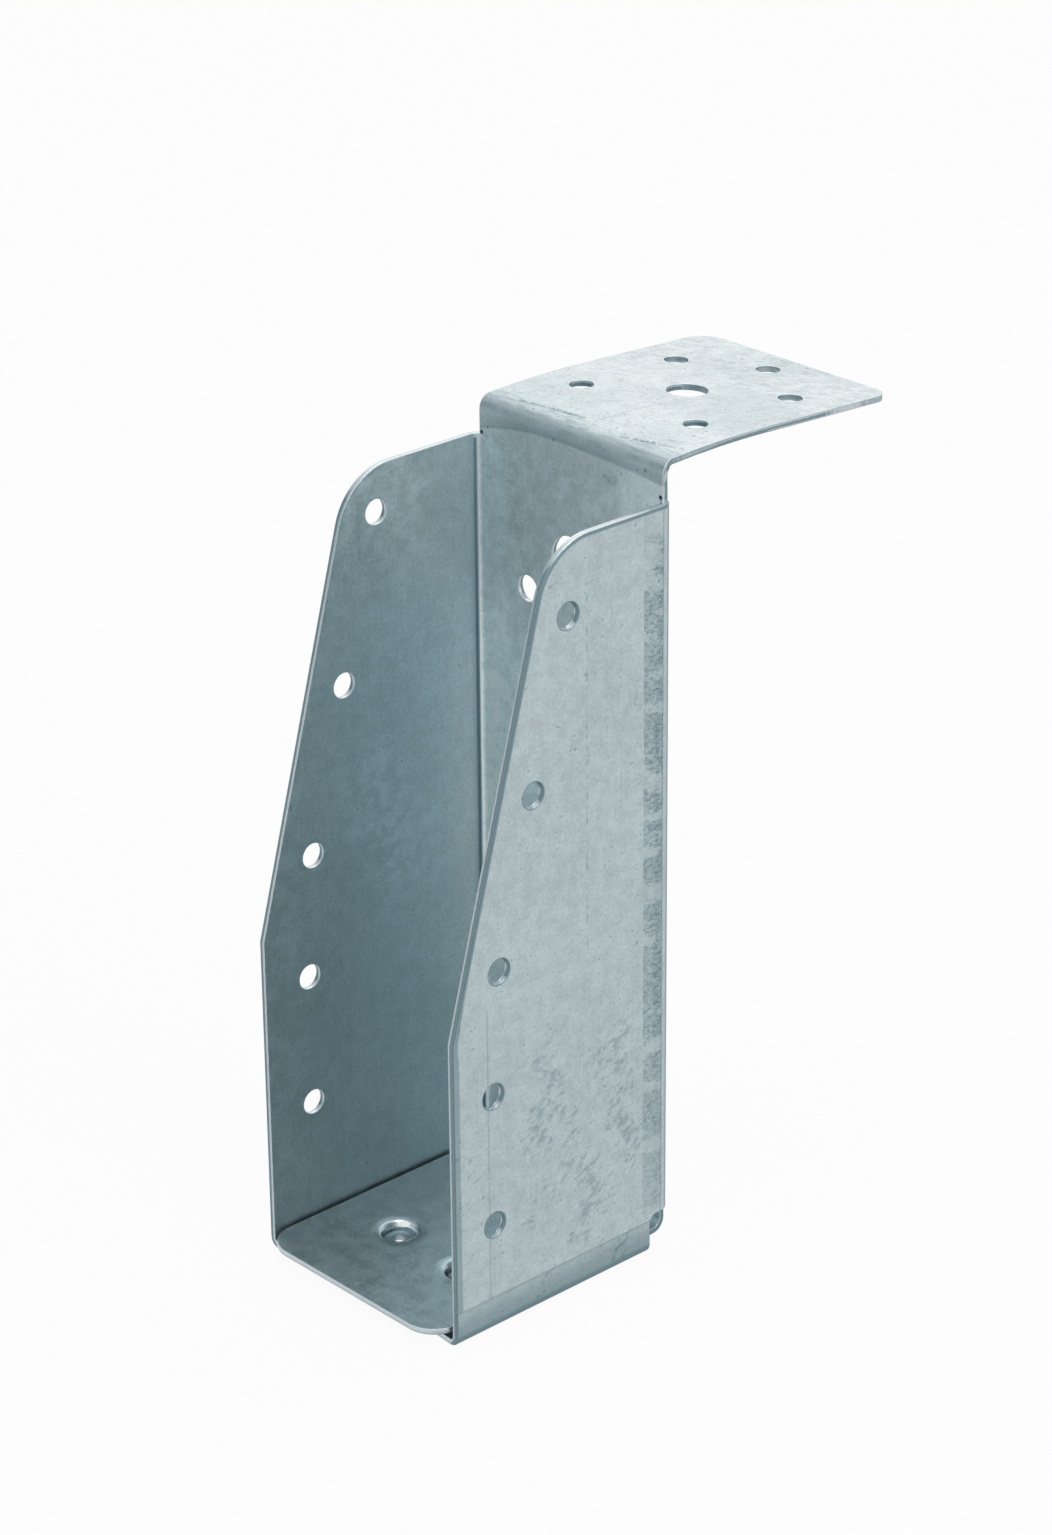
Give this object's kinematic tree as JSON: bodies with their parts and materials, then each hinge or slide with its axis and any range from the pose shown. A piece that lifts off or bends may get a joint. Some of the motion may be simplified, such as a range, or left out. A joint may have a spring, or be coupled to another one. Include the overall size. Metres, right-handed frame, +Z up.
{
  "type": "joist hanger",
  "caption": "Folded sheet-steel joist hanger: slant-topped wings, back plate and seat form a pocket for the joist's end, and a lip hooks over the beam. Punched for nails and bolts.",
  "frame": {"origin": "lower inside corner of the pocket: the back plate's front face meets the seat's top there, midway between the wings", "axes": "+Z up, +Y from the pocket over the beam, -Y out along the joist, X across the joist"},
  "size_m": [0.0488, 0.1085, 0.1482],
  "materials": {
    "galvanised_sheet": "hot-dip galvanised, satin, lightly scuffed and pitted"
  },
  "bodies": {
    "root": {"hanger": "galvanised_sheet"}
  },
  "joints": []
}
